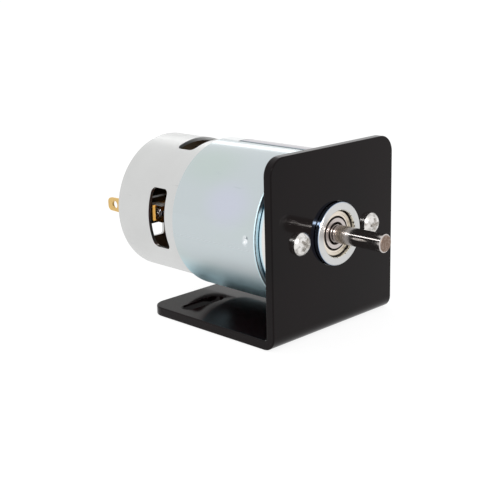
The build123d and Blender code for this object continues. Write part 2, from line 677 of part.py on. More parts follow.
def turn_to(side):
    """Rotation that brings a piece drawn on +X to the side where it belongs."""
    return Rot(0, 0, 0 if side > 0 else 180)


def terminal(side):
    """Brass blade from the brush holder out through the end bell, with a solder eye."""
    half, tip_half = TERMINAL_WIDTH / 2, TERMINAL_TIP_WIDTH / 2
    outline = Polyline(
        (-half, TERMINAL_FRONT), (half, TERMINAL_FRONT), (half, TERMINAL_TAPER_START),
        (tip_half, TERMINAL_TIP), (-tip_half, TERMINAL_TIP), (-half, TERMINAL_TAPER_START), close=True,
    )
    blade = make_face(outline)
    blade = fillet(blade.vertices().group_by(Axis.Y)[-1], TERMINAL_CORNER_RADIUS)
    blade -= Pos(0, TERMINAL_TIP - TERMINAL_EYE_FROM_TIP) * Circle(TERMINAL_EYE_RADIUS)
    upright = Plane(origin=(TERMINAL_OFFSET, 0, 0), x_dir=(0, 1, 0), z_dir=(1, 0, 0))
    strip = extrude(upright * blade, TERMINAL_THICKNESS / 2, both=True)
    return turn_to(side) * strip


def brush(side):
    """Carbon brush, hollowed to the commutator at its inner end."""
    carbon = block(
        (0, BRUSH_OUTER_RADIUS), (-BRUSH_CROSS / 2, BRUSH_CROSS / 2), (BRUSH_FRONT, BRUSH_REAR)
    )
    track = rod(BRUSH_INNER_RADIUS, BRUSH_FRONT - BRUSH_AXIAL, BRUSH_REAR + BRUSH_AXIAL)
    return turn_to(side) * (carbon - track)


def brush_spring(side):
    """Coil spring between a brush and the inner end of its terminal."""
    margin = SPRING_WIRE_RADIUS + SEAT_GAP
    start = BRUSH_OUTER_RADIUS + margin
    height = HOLDER_OUTER_END - margin - start
    path = Helix(pitch=SPRING_PITCH, height=height, radius=SPRING_RADIUS)
    wire = RegularPolygon(SPRING_WIRE_RADIUS, SPRING_WIRE_SIDES)
    section = Plane(origin=path @ 0, z_dir=path % 0) * wire
    spring = sweep(section, path=path, is_frenet=True)
    return turn_to(side) * Pos(start, 0, BRUSH_MIDDLE) * Rot(0, 90, 0) * spring


def end_bell():
    """Pressed steel cover with its vents, terminal slots and the cup for the rear bush."""
    cup_bore = BELL_CUP_RADIUS - BELL_CUP_WALL
    bell = turned(
        (BELL_SHAFT_HOLE_RADIUS, CUP_REAR), (BELL_CUP_RADIUS, CUP_REAR), (BELL_CUP_RADIUS, BELL_REAR),
        (BELL_RADIUS, BELL_REAR), (BELL_RADIUS, BELL_FRONT), (cup_bore, BELL_FRONT),
        (cup_bore, BUSH_REAR), (BELL_SHAFT_HOLE_RADIUS, BUSH_REAR),
    )
    bell = chamfer(round_edges(bell, BELL_CUP_RADIUS, CUP_REAR), BELL_CUP_WALL / 2)
    vent = RectangleRounded(BELL_VENT_WIDTH, BELL_VENT_HEIGHT, BELL_VENT_CORNER_RADIUS)
    across = BELL_VENT_INNER + BELL_VENT_WIDTH / 2
    upward = BELL_VENT_LOWER + BELL_VENT_HEIGHT / 2
    openings = [terminal_slot(side, 2 * TERMINAL_SLOT_GAP + SLEEVE_WALL) for side in (-1, 1)]
    openings += [Pos(x, y) * vent for x in (-across, across) for y in (-upward, upward)]
    for opening in openings:
        bell -= Pos(0, 0, BELL_FRONT - BELL_THICKNESS) * extrude(opening, 3 * BELL_THICKNESS)
    return bell


def rear_bush():
    """Sintered bush pressed in the cup of the end bell."""
    return tube(
        SHAFT_RADIUS + BUSH_RUNNING_GAP, BELL_CUP_RADIUS - BELL_CUP_WALL - SEAT_GAP, BUSH_FRONT, BUSH_REAR
    )


def motor_pieces():
    """Every piece on the shaft axis by name, in the turned frame."""
    rear_shield = BEARING_REAR - SHIELD_INSET - SHIELD_THICKNESS
    pieces = {
        "bracket_screws": bracket_screws(),
        "motor_can": motor_can(),
        "flux_ring": flux_ring(),
        "magnet_clip_top": magnet_clip(-90),
        "magnet_clip_bottom": magnet_clip(90),
        "bearing_outer_ring": bearing_outer_ring(),
        "bearing_inner_ring": bearing_inner_ring(),
        "bearing_shield_front": bearing_shield(BEARING_FRONT + SHIELD_INSET),
        "bearing_shield_rear": bearing_shield(rear_shield),
        "bearing_cage": ball_cage(),
        "bearing_balls": bearing_balls(),
        "shaft": shaft(),
        "spacer_sleeve": spacer_sleeve(),
        "armature_core": armature_core(),
        "armature_insulator_front": armature_insulator(CORE_FRONT - INSULATOR_THICKNESS),
        "armature_insulator_rear": armature_insulator(CORE_REAR),
        "commutator_hub": commutator_hub(),
        "rear_spacer": rear_spacer(),
        "thrust_washers": thrust_washers(),
        "brush_card": brush_card(),
        "end_bell": end_bell(),
        "rear_bush": rear_bush(),
    }
    for number in range(SLOT_COUNT):
        pieces[f"armature_coil_{number + 1}"] = armature_coil(number)
        pieces[f"commutator_segment_{number + 1}"] = commutator_segment(number)
    for name, side in (("left", -1), ("right", 1)):
        pieces[f"magnet_{name}"] = field_magnet(side)
        pieces[f"brush_holder_{name}"] = brush_holder(side)
        pieces[f"terminal_{name}"] = terminal(side)
        pieces[f"brush_{name}"] = brush(side)
        pieces[f"brush_spring_{name}"] = brush_spring(side)
    return pieces


def place_on_bracket(piece):
    """Move a piece, or a group of separate pieces, from the turned frame to the part's frame."""
    if isinstance(piece, list):
        return Compound(children=[SHAFT_FRAME * solid for solid in piece])
    return SHAFT_FRAME * piece


def main():
    os.makedirs("parts", exist_ok=True)
    export_step(bracket(), "parts/bracket.step")
    for name, piece in motor_pieces().items():
        export_step(place_on_bracket(piece), f"parts/{name}.step")


main()
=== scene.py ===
import json
import math

import bmesh
import bpy
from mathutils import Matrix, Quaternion, Vector


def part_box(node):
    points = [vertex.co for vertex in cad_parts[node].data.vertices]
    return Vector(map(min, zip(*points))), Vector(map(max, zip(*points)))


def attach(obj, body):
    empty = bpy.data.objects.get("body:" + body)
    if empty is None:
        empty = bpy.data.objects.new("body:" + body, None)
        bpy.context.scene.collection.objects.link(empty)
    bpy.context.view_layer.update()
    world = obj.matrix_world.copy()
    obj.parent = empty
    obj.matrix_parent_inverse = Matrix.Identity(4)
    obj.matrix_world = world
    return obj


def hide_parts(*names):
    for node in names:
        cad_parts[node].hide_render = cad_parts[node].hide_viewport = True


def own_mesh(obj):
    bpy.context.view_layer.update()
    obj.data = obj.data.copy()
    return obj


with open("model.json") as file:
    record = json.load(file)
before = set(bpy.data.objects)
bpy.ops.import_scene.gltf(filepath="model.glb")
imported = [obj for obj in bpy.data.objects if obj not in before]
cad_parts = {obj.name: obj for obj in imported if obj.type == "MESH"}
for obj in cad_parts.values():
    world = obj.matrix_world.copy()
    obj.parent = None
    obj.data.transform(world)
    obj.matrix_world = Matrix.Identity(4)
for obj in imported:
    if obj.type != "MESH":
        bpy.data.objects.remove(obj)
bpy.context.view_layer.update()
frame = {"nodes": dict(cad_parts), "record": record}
NODES = frame["nodes"]

MM = 0.001

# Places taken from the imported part, in metres
SHAFT_LOW, SHAFT_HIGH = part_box("shaft")
AXIS_HEIGHT = (SHAFT_LOW.z + SHAFT_HIGH.z) / 2
PLATE_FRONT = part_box("bracket")[0].y

# Camera: place in metres, angles in degrees, lens and sensor in millimetres
CAMERA_PLACE = (-0.2082315, -0.2160354, 0.0986375)
CAMERA_AZIMUTH = -44.818
CAMERA_ELEVATION = 15.438
CAMERA_ROLL = -1.430
CAMERA_LENS = 74.352
SENSOR_WIDTH = 36.0


def add_math(tree, operation, first, second):
    """Result of a math node on two values, each a number or the output of another node."""
    node = tree.nodes.new("ShaderNodeMath")
    node.operation = operation
    for socket, value in zip(node.inputs, (first, second)):
        if isinstance(value, (int, float)):
            socket.default_value = value
        else:
            tree.links.new(value, socket)
    return node.outputs[0]


# ---------------------------------------------------------------- materials

LAMINATION = 0.5 * MM             # thickness of one sheet of the core
WIRE_PITCH = 0.55 * MM            # from one turn of a coil to the next


class Surface:
    """A Principled material with short helpers for its procedural detail."""

    def __init__(self, name, color, metallic=0.0, roughness=0.5, specular=0.5):
        self.material = bpy.data.materials.new(name)
        self.material.use_nodes = True
        self.tree = self.material.node_tree
        self.shader = self.tree.nodes["Principled BSDF"]
        self.shader.inputs["Base Color"].default_value = (*color, 1)
        self.shader.inputs["Metallic"].default_value = metallic
        self.shader.inputs["Roughness"].default_value = roughness
        self.shader.inputs["Specular IOR Level"].default_value = specular
        self.place = self.add("ShaderNodeTexCoord").outputs["Object"]
        self.height = None

    def add(self, kind, **settings):
        node = self.tree.nodes.new(kind)
        for name, value in settings.items():
            setattr(node, name, value)
        return node

    def link(self, source, target):
        self.tree.links.new(source, target)

    def feed(self, name, value):
        """Use a value as an input of the shader."""
        self.link(value, self.shader.inputs[name])

    def stretched(self, scale, shift=(0, 0, 0)):
        """Object coordinates, scaled and shifted."""
        mapping = self.add("ShaderNodeMapping")
        mapping.inputs["Scale"].default_value = scale
        mapping.inputs["Location"].default_value = shift
        self.link(self.place, mapping.inputs["Vector"])
        return mapping.outputs["Vector"]

    def noise(self, scale, detail=3.0, roughness=0.5, coordinates=None):
        noise = self.add("ShaderNodeTexNoise")
        noise.inputs["Scale"].default_value = scale
        noise.inputs["Detail"].default_value = detail
        noise.inputs["Roughness"].default_value = roughness
        self.link(coordinates or self.place, noise.inputs["Vector"])
        return noise.outputs["Fac"]

    def waves(self, kind, pitch, distortion, coordinates):
        """Waves with a pitch: RINGS about the Y axis or BANDS along it."""
        waves = self.add("ShaderNodeTexWave", wave_type=kind, rings_direction="Y", bands_direction="Y")
        # At a scale of 1 the texture repeats after pi / 10
        waves.inputs["Scale"].default_value = math.pi / 10.0 / pitch
        waves.inputs["Distortion"].default_value = distortion
        self.link(coordinates, waves.inputs["Vector"])
        return waves.outputs["Fac"]

    def remap(self, value, low, high, to_low=0.0, to_high=1.0, smooth=False):
        """Map one range onto another, held at its ends."""
        node = self.add("ShaderNodeMapRange")
        node.interpolation_type = "SMOOTHSTEP" if smooth else "LINEAR"
        for socket, number in zip(node.inputs[1:5], (low, high, to_low, to_high)):
            socket.default_value = number
        self.link(value, node.inputs["Value"])
        return node.outputs["Result"]

    def math(self, operation, first, second=0.0):
        return add_math(self.tree, operation, first, second)

    def product(self, first, second):
        return self.math("MULTIPLY", first, second)

    def from_axis(self):
        """X and Z from the shaft's axis, and depth behind the front of the plate, in mm."""
        place = self.stretched((1 / MM,) * 3, (0, -PLATE_FRONT / MM, -AXIS_HEIGHT / MM))
        split = self.add("ShaderNodeSeparateXYZ")
        self.link(place, split.inputs[0])
        return split.outputs["X"], split.outputs["Z"], split.outputs["Y"]

    def radius(self, across, up):
        """Distance from the shaft's axis, in mm."""
        square = self.product(across, across)
        return self.math("SQRT", self.math("ADD", square, self.product(up, up)))

    def turn(self, across, up):
        """Angle about the shaft's axis, in degrees, from +X towards +Z."""
        return self.product(self.math("ARCTAN2", up, across), 180.0 / math.pi)

    def band(self, value, low, high, edge):
        """1 where the value lies between low and high, with soft edges."""
        rise = self.remap(value, low - edge, low + edge, smooth=True)
        fall = self.remap(value, high - edge, high + edge, 1.0, 0.0, smooth=True)
        return self.product(rise, fall)

    def blend_color(self, factor, color):
        """Mix a colour over the colour so far."""
        mix = self.add("ShaderNodeMix", data_type="RGBA")
        socket = self.shader.inputs["Base Color"]
        if socket.is_linked:
            self.link(socket.links[0].from_socket, mix.inputs["A"])
        else:
            mix.inputs["A"].default_value = socket.default_value
        mix.inputs["B"].default_value = (*color, 1)
        self.link(factor, mix.inputs["Factor"])
        self.link(mix.outputs["Result"], socket)

    def patch(self, first, middle, reach, second, other_middle, other_reach):
        """Soft oval patch: 1 at its middle and 0 at its reach along either value."""
        across = self.math("DIVIDE", self.math("SUBTRACT", first, middle), reach)
        along = self.math("DIVIDE", self.math("SUBTRACT", second, other_middle), other_reach)
        return self.remap(self.radius(across, along), 0.2, 1.0, 1.0, 0.0, smooth=True)

    def vary_roughness(self, value, low, high):
        self.feed("Roughness", self.remap(value, 0.0, 1.0, low, high))

    def bump(self, value, distance, strength):
        """Bump from a height between 0 and 1, chained on any bump so far."""
        bump = self.add("ShaderNodeBump")
        bump.inputs["Distance"].default_value = distance
        bump.inputs["Strength"].default_value = strength
        self.link(value, bump.inputs["Height"])
        if self.height is not None:
            self.link(self.height, bump.inputs["Normal"])
        self.height = bump.outputs["Normal"]
        self.feed("Normal", self.height)

    def turned_rings(self, pitch, where, distance):
        """Fine rings about the shaft's axis, as a lathe leaves them, where the mask is 1."""
        rings = self.waves("RINGS", pitch, 0.6, self.stretched((1, 1, 1), (0, 0, -AXIS_HEIGHT)))
        self.bump(self.product(rings, where), distance, 0.6)

    def specks(self, scale, share, size):
        """Scattered dots: 1 inside a dot and 0 elsewhere."""
        cells = self.add("ShaderNodeTexVoronoi")
        cells.inputs["Scale"].default_value = scale
        self.link(self.place, cells.inputs["Vector"])
        split = self.add("ShaderNodeSeparateColor")
        self.link(cells.outputs["Color"], split.inputs[0])
        chosen = self.math("LESS_THAN", split.outputs[0], share)
        near = self.math("LESS_THAN", cells.outputs["Distance"], size)
        return self.product(chosen, near)


def can_steel():
    """Satin nickel plate: clouding, drawn streaks, a turned boss, a seat painted pale as light, and painted
    shade by the nose's oil line and on the end bell's inner face.
    """
    surface = Surface("can_satin_plate", (0.64, 0.645, 0.64), metallic=1.0, roughness=0.3)
    across, up, depth = surface.from_axis()
    radius = surface.radius(across, up)
    surface.blend_color(surface.remap(surface.noise(60.0, 4.0), 0.35, 0.75, smooth=True), (0.60, 0.605, 0.60))
    scuff = surface.noise(1.0, 2.0, 0.5, surface.stretched((300, 140, 1500)))
    surface.blend_color(surface.remap(scuff, 0.70, 0.82), (0.50, 0.50, 0.50))
    # Nose between the plate and the flux ring: bluer, with a dark teal oil line near the ring that painted
    # shade widens towards the bottom and carries over the top, on the left side
    nose = surface.product(surface.remap(depth, 9.0, 9.6, 1.0, 0.0), surface.remap(radius, 12.0, 13.0))
    surface.blend_color(nose, (0.64, 0.80, 0.87))
    pale = surface.remap(depth, 7.3, 7.9, 1.0, 0.0, smooth=True)
    surface.blend_color(surface.product(pale, nose), (0.78, 0.76, 0.73))
    # Painted shade: the dark teal widens towards the bottom and covers the top
    wide = surface.product(surface.band(depth, 8.0, 9.3, 0.2), surface.remap(up, -3.0, -10.0))
    painted_shade = surface.math("MAXIMUM", wide, surface.remap(up, 8.4, 9.2))
    painted_shade = surface.product(painted_shade, surface.remap(across, -10.0, -14.5, smooth=True))
    line = surface.math("MAXIMUM", surface.band(depth, 8.45, 8.95, 0.12), painted_shade)
    surface.blend_color(surface.product(line, nose), (0.018, 0.12, 0.19))
    # Boss: bearing seat painted pale and warm as painted light, with dark chips; blue side and turned face
    # Painted light: the seat's bevel gets a paler colour than the plate so that it shows lit
    seat = surface.product(surface.band(radius, 6.3, 6.62, 0.02), surface.remap(depth, 3.0, 3.5, 1.0, 0.0))
    surface.blend_color(seat, (0.80, 0.79, 0.72))
    chips = surface.remap(surface.noise(1500.0, 3.0), 0.54, 0.62)
    surface.blend_color(surface.product(seat, chips), (0.03, 0.025, 0.02))
    side = surface.product(surface.band(radius, 8.65, 8.9, 0.02), surface.remap(depth, 0.5, 0.6, 1.0, 0.0))
    surface.blend_color(side, (0.36, 0.46, 0.62))
    # Inner face of the end bell: painted shade makes it dark, and brush dust with painted light makes it
    # lighter brown towards the bottom
    face = surface.band(depth, 65.9, 66.6, 0.1)
    shaded_inner_face = surface.product(face, surface.remap(radius, 19.0, 19.6, 1.0, 0.0))
    surface.blend_color(shaded_inner_face, (0.03, 0.023, 0.015))
    # Brush dust and painted light: lighter brown towards the bottom
    dust_and_light_bottom = surface.product(shaded_inner_face, surface.remap(up, -5.0, -10.0, smooth=True))
    surface.blend_color(dust_and_light_bottom, (0.34, 0.27, 0.19))
    surface.feed("Metallic", surface.remap(shaded_inner_face, 0.0, 1.0, 1.0, 0.0))
    smooth = surface.remap(surface.math("MAXIMUM", nose, side), 0.0, 1.0, 0.3, 0.14)
    streaks = surface.noise(1.0, 3.0, 0.6, surface.stretched((900, 60, 900)))
    streaks = surface.remap(streaks, 0.0, 1.0, -0.04, 0.05)
    surface.feed("Roughness", surface.math("ADD", smooth, streaks))
    surface.turned_rings(0.22 * MM, surface.remap(depth, 0.0, 0.1, 1.0, 0.0), 0.02 * MM)
    return surface.material


def ring_steel():
    """Blue zinc plate on the flux ring, clouded green and lavender; painted reflections make it lighter and
    bluer underneath, grey and bright past the seam, and pale or dark on its front face.
    """
    surface = Surface("ring_blue_zinc", (0.555, 0.61, 0.63), metallic=1.0, roughness=0.2)
    across, up, depth = surface.from_axis()
    turn = surface.turn(across, up)
    clouds = surface.noise(38.0, 2.0, 0.4)
    surface.blend_color(surface.remap(clouds, 0.38, 0.5, 0.5, 0.0, smooth=True), (0.545, 0.615, 0.605))
    green = surface.patch(turn, 128.0, 26.0, depth, 34.0, 16.0)
    surface.blend_color(green, (0.53, 0.605, 0.59))
    lavender = surface.patch(turn, 157.0, 23.0, depth, 21.0, 12.0)
    surface.blend_color(lavender, (0.575, 0.605, 0.69))
    # Painted reflection: lighter and bluer towards the bottom
    surface.blend_color(surface.remap(up, -8.0, -17.0, smooth=True), (0.60, 0.85, 0.93))
    grain = surface.noise(1.0, 3.0, 0.6, surface.stretched((500, 60, 500)))
    surface.blend_color(surface.remap(grain, 0.66, 0.85), (0.48, 0.54, 0.57))
    # Beyond the seam, painted reflections: a duller grey strip as far as the seam's step, then a painted
    # bright highlight over the plate
    begun = surface.remap(turn, 44.0, 67.0, smooth=True)
    beyond = surface.product(begun, surface.remap(turn, 93.5, 94.5, 1.0, 0.0))
    strip = surface.product(beyond, surface.remap(depth, 34.6, 34.9, 1.0, 0.0))
    # Painted highlight past the seam, then a painted grey reflection on its front part
    surface.blend_color(beyond, (0.85, 0.88, 0.88))
    surface.blend_color(strip, (0.42, 0.40, 0.44))
    oil = surface.product(strip, surface.band(turn, 92.0, 96.0, 0.2))
    surface.blend_color(oil, (0.02, 0.11, 0.17))
    # Sheared front edge, painted pale as light where it would mirror the dark plate, and the bright ground
    # dimple of the stake
    radius = surface.radius(across, up)
    edge = surface.product(surface.remap(depth, 9.58, 9.62, 1.0, 0.0), surface.remap(depth, 9.0, 9.1))
    surface.blend_color(edge, (0.72, 0.85, 0.89))
    burr = surface.remap(surface.noise(2200.0, 2.0), 0.38, 0.55, 0.55, 1.0)
    sheared = surface.product(surface.band(radius, 21.45, 21.85, 0.08), edge)
    surface.blend_color(surface.product(sheared, burr), (0.16, 0.155, 0.165))
    # Painted reflection: the front face darker at the top and the bottom
    ends = surface.math("MAXIMUM", surface.remap(up, 7.5, 9.5), surface.remap(up, -5.0, -10.0, 0.0, 0.7))
    inner = surface.remap(radius, 21.85, 21.95, 1.0, 0.0)
    ends = surface.product(surface.product(ends, inner), edge)
    surface.blend_color(ends, (0.09, 0.10, 0.11))
    left = surface.remap(across, -20.0, -19.0, 1.0, 0.0)
    dimple = surface.product(surface.patch(up, 0.2, 1.9, depth, 12.75, 1.25), left)
    surface.blend_color(dimple, (0.88, 0.91, 0.93))
    # A small dark spot above and in front of the dimple
    dark_spot = surface.product(surface.patch(up, 1.0, 0.7, depth, 12.0, 0.45), left)
    surface.blend_color(dark_spot, (0.20, 0.23, 0.25))
    rough = surface.remap(up, 2.0, -9.0, 0.15, 0.5, smooth=True)
    rough = surface.math("MAXIMUM", rough, surface.product(edge, 0.75))
    surface.feed("Roughness", surface.math("MAXIMUM", rough, surface.product(dimple, 0.5)))
    return surface.material


def bracket_coat():
    """Gloss black coating with faint orange peel and a few dust specks."""
    surface = Surface("bracket_gloss_black", (0.0085, 0.0022, 0.0030), roughness=0.12, specular=0.14)
    clouds = surface.noise(45.0, 3.0)
    surface.blend_color(surface.remap(clouds, 0.4, 0.8), (0.0035, 0.0012, 0.0018))
    surface.blend_color(surface.specks(260.0, 0.014, 0.045), (0.30, 0.30, 0.29))
    surface.vary_roughness(surface.noise(160.0, 3.0), 0.07, 0.12)
    surface.bump(surface.noise(420.0, 2.0), 0.01 * MM, 0.3)
    return surface.material


def screw_steel():
    surface = Surface("screw_bright_zinc", (0.78, 0.76, 0.74), metallic=1.0, roughness=0.22)
    surface.blend_color(surface.remap(surface.noise(900.0, 4.0), 0.45, 0.7), (0.40, 0.39, 0.37))
    surface.vary_roughness(surface.noise(900.0, 3.0), 0.12, 0.36)
    surface.bump(surface.noise(1500.0, 4.0), 0.06 * MM, 0.6)
    return surface.material


def turned_steel(name, color, shade, roughness, shade_radii):
    """Ground steel with fine rings about the shaft's axis, and a dark ring of painted shade between two
    radii, over the gap beside the next part.
    """
    surface = Surface(name, color, metallic=1.0, roughness=roughness)
    across, up = surface.from_axis()[:2]
    surface.blend_color(surface.remap(surface.noise(420.0, 3.0), 0.4, 0.8), shade)
    surface.turned_rings(0.18 * MM, 1.0, 0.006 * MM)
    # Painted shade: a dark ring over the gap beside the next part
    gap_shade = surface.band(surface.radius(across, up), *shade_radii, 0.03)
    surface.blend_color(gap_shade, (0.02, 0.013, 0.01))
    return surface.material


def bearing_steel():
    return turned_steel("bearing_race", (0.78, 0.71, 0.61), (0.70, 0.63, 0.53), 0.30, (6.1, 7.0))


def bearing_inner_steel():
    return turned_steel("bearing_inner_race", (0.60, 0.55, 0.53), (0.52, 0.47, 0.45), 0.34, (2.0, 3.2))


def shield_steel():
    return turned_steel("bearing_shield_steel", (0.82, 0.75, 0.66), (0.73, 0.66, 0.57), 0.34, (4.5, 4.84))


def shaft_steel():
    """Polished shaft, grooved round its axis; its sawn end is rougher and warmer, and towards the bearing it
    is rougher and painted darker as shade.
    """
    surface = Surface("shaft_ground_steel", (0.60, 0.565, 0.545), metallic=1.0, roughness=0.13)
    depth = surface.from_axis()[2]
    surface.blend_color(surface.remap(surface.noise(500.0, 4.0), 0.5, 0.8), (0.48, 0.44, 0.42))
    # Painted shade: darker towards the bearing
    shaded_root = surface.remap(depth, -9.0, -4.0, smooth=True)
    surface.blend_color(shaded_root, (0.47, 0.43, 0.41))
    end = surface.remap(depth, -17.15, -17.05, 1.0, 0.0)
    surface.blend_color(end, (0.21, 0.145, 0.11))
    flecks = surface.product(end, surface.remap(surface.noise(2400.0, 2.0), 0.45, 0.65))
    surface.blend_color(flecks, (0.32, 0.25, 0.215))
    grooves = surface.noise(1.0, 2.0, 0.5, surface.stretched((60, 2500, 60)))
    rough = surface.remap(grooves, 0.3, 0.7, 0.07, 0.12)
    rough = surface.math("ADD", rough, surface.product(shaded_root, 0.17))
    surface.feed("Roughness", surface.math("ADD", rough, surface.product(end, 0.3)))
    return surface.material


def plain_metal(name, color, shade, roughness, grain=800.0):
    """Metal clouded with a second shade, in a grain of so many spots to the metre."""
    surface = Surface(name, color, metallic=1.0, roughness=roughness)
    surface.blend_color(surface.remap(surface.noise(grain, 4.0), 0.4, 0.8), shade)
    surface.vary_roughness(surface.noise(grain / 2, 2.0), roughness - 0.06, roughness + 0.08)
    surface.bump(surface.noise(grain * 2, 3.0), 0.02 * MM, 0.3)
    return surface.material


def plain_matt(name, color, shade, roughness, grain=600.0):
    """The same for a matt surface that isn't metal."""
    surface = Surface(name, color, roughness=roughness)
    surface.blend_color(surface.remap(surface.noise(grain, 4.0), 0.35, 0.75), shade)
    surface.vary_roughness(surface.noise(grain, 2.0), roughness - 0.08, roughness + 0.1)
    surface.bump(surface.noise(grain * 2, 4.0), 0.03 * MM, 0.4)
    return surface.material


def laminated_steel():
    """Core laminations under a thin varnish."""
    surface = Surface("core_laminations", (0.30, 0.29, 0.28), metallic=0.8, roughness=0.42)
    sheets = surface.waves("BANDS", LAMINATION, 0.2, surface.place)
    surface.blend_color(surface.remap(sheets, 0.0, 0.25, 0.8, 0.0), (0.05, 0.035, 0.03))
    surface.blend_color(surface.remap(surface.noise(300.0), 0.5, 0.8), (0.20, 0.13, 0.08))
    surface.bump(sheets, 0.05 * MM, 0.6)
    return surface.material


def enamelled_wire():
    """Wound magnet wire: its turns lie side by side round the axis and along it."""
    surface = Surface("enamelled_copper", (0.52, 0.17, 0.055), metallic=0.75, roughness=0.26)
    surface.blend_color(surface.remap(surface.noise(380.0, 3.0), 0.4, 0.8), (0.30, 0.085, 0.03))
    surface.shader.inputs["Coat Weight"].default_value = 0.5
    surface.shader.inputs["Coat Roughness"].default_value = 0.15
    centred = surface.stretched((1, 1, 1), (0, 0, -AXIS_HEIGHT))
    heights = [surface.waves(kind, WIRE_PITCH, 0.9, centred) for kind in ("RINGS", "BANDS")]
    wound = surface.product(surface.math("ADD", *heights), 0.5)
    # Painted shade: darker in the grooves between the turns
    surface.blend_color(surface.remap(wound, 0.15, 0.45, 0.85, 0.0), (0.09, 0.025, 0.01))
    surface.bump(wound, 0.12 * MM, 0.8)
    return surface.material


def card_plastic():
    """Black moulding of the rear card, painted lighter olive-brown as light at the top and the bottom of its
    skirt.
    """
    surface = Surface("card_moulded_black", (0.03, 0.024, 0.017), roughness=0.42, specular=0.18)
    up, depth = surface.from_axis()[1:]
    surface.blend_color(surface.remap(surface.noise(600.0, 4.0), 0.35, 0.75), (0.04, 0.032, 0.022))
    # Painted light: lighter olive-brown at the bottom and the top of the skirt, where light comes in through
    # the windows
    surface.blend_color(surface.remap(up, -8.0, -14.0, smooth=True), (0.15, 0.125, 0.09))
    surface.blend_color(surface.remap(up, 13.0, 15.5, smooth=True), (0.33, 0.27, 0.18))
    surface.blend_color(surface.remap(depth, 67.0, 67.3), (0.015, 0.015, 0.016))
    surface.bump(surface.noise(1200.0, 4.0), 0.03 * MM, 0.4)
    return surface.material


def holder_brass():
    """Folded brass holders, grey with solder on top, beside the terminals."""
    surface = Surface("holder_folded_brass", (0.72, 0.36, 0.07), metallic=1.0, roughness=0.3)
    across, up = surface.from_axis()[:2]
    surface.blend_color(surface.remap(surface.noise(800.0, 4.0), 0.4, 0.8), (0.55, 0.25, 0.05))
    outer = surface.remap(surface.math("ABSOLUTE", across), 12.2, 13.2, smooth=True)
    solder = surface.product(outer, surface.remap(up, 2.40, 2.46))
    surface.blend_color(solder, (0.78, 0.72, 0.64))
    surface.feed("Metallic", surface.remap(solder, 0.0, 1.0, 1.0, 0.0))
    surface.vary_roughness(surface.noise(400.0, 2.0), 0.24, 0.38)
    surface.bump(surface.noise(1600.0, 3.0), 0.02 * MM, 0.3)
    return surface.material


def blade_brass():
    """Bright brass terminals, painted brighter and redder as light where they are shut in behind the can."""
    surface = Surface("terminal_bright_brass", (0.72, 0.50, 0.20), metallic=1.0, roughness=0.42)
    depth = surface.from_axis()[2]
    surface.blend_color(surface.remap(surface.noise(800.0, 4.0), 0.4, 0.8), (0.64, 0.43, 0.16))
    # Painted light: brighter and more orange where the blade lies in the can's shade
    surface.blend_color(surface.remap(depth, 62.0, 64.0, 1.0, 0.0), (1.0, 0.56, 0.14))
    surface.vary_roughness(surface.noise(400.0, 2.0), 0.36, 0.48)
    surface.bump(surface.noise(1600.0, 3.0), 0.02 * MM, 0.3)
    return surface.material


MATERIAL_MAKERS = {
    "bracket_coat": bracket_coat,
    "screw_plate": screw_steel,
    "can_plate": can_steel,
    "ring_plate": ring_steel,
    "ferrite": lambda: plain_matt("ferrite_magnet", (0.045, 0.045, 0.05), (0.07, 0.068, 0.066), 0.7),
    "spring_steel": lambda: plain_metal("blued_spring_steel", (0.30, 0.31, 0.36), (0.42, 0.36, 0.30), 0.28),
    "bearing_steel": bearing_steel,
    "bearing_steel_inner": bearing_inner_steel,
    "bearing_shield": shield_steel,
    # Greased cage, painted darker still as the shade in the gap between the bearing's rings
    "cage_steel": lambda: plain_metal("cage_greased_shaded_steel", (0.06, 0.05, 0.04), (0.03, 0.025, 0.02), 0.3),
    "ball_steel": lambda: plain_metal("ball_greased_steel", (0.30, 0.28, 0.26), (0.20, 0.18, 0.16), 0.12),
    "shaft_steel": shaft_steel,
    "spacer_brass": lambda: plain_metal("spacer_turned_brass", (0.72, 0.50, 0.22), (0.60, 0.40, 0.17), 0.3),
    "core_steel": laminated_steel,
    "fibre": lambda: plain_matt("pressed_fibre", (0.035, 0.11, 0.06), (0.05, 0.16, 0.09), 0.7, 400.0),
    "enamelled_wire": enamelled_wire,
    "commutator_resin": lambda: plain_matt("moulded_resin", (0.05, 0.022, 0.015), (0.08, 0.03, 0.02), 0.5),
    "commutator_copper": lambda: plain_metal(
        "worn_copper", (0.62, 0.30, 0.17), (0.35, 0.17, 0.10), 0.32, 600.0
    ),
    "washer_steel": lambda: plain_metal("washer_steel_bright", (0.6, 0.6, 0.6), (0.5, 0.5, 0.5), 0.3),
    "card_plastic": card_plastic,
    "bronze": lambda: plain_metal(
        "bush_sintered_bronze", (0.36, 0.22, 0.10), (0.22, 0.13, 0.06), 0.5, 1200.0
    ),
    "holder_brass": holder_brass,
    "terminal_brass": blade_brass,
    "carbon": lambda: plain_matt("brush_carbon", (0.03, 0.03, 0.032), (0.055, 0.05, 0.05), 0.55, 900.0),
}


def dress_nodes():
    """Give each CAD node the material of its slot."""
    made = {}
    for part in frame["record"]["subparts"]:
        slot = part["material_slot"]
        if slot not in made:
            made[slot] = MATERIAL_MAKERS[slot]()
        node = NODES[part["node"]]
        node.data.materials.clear()
        node.data.materials.append(made[slot])
    return made


# ---------------------------------------------------------------- pieces

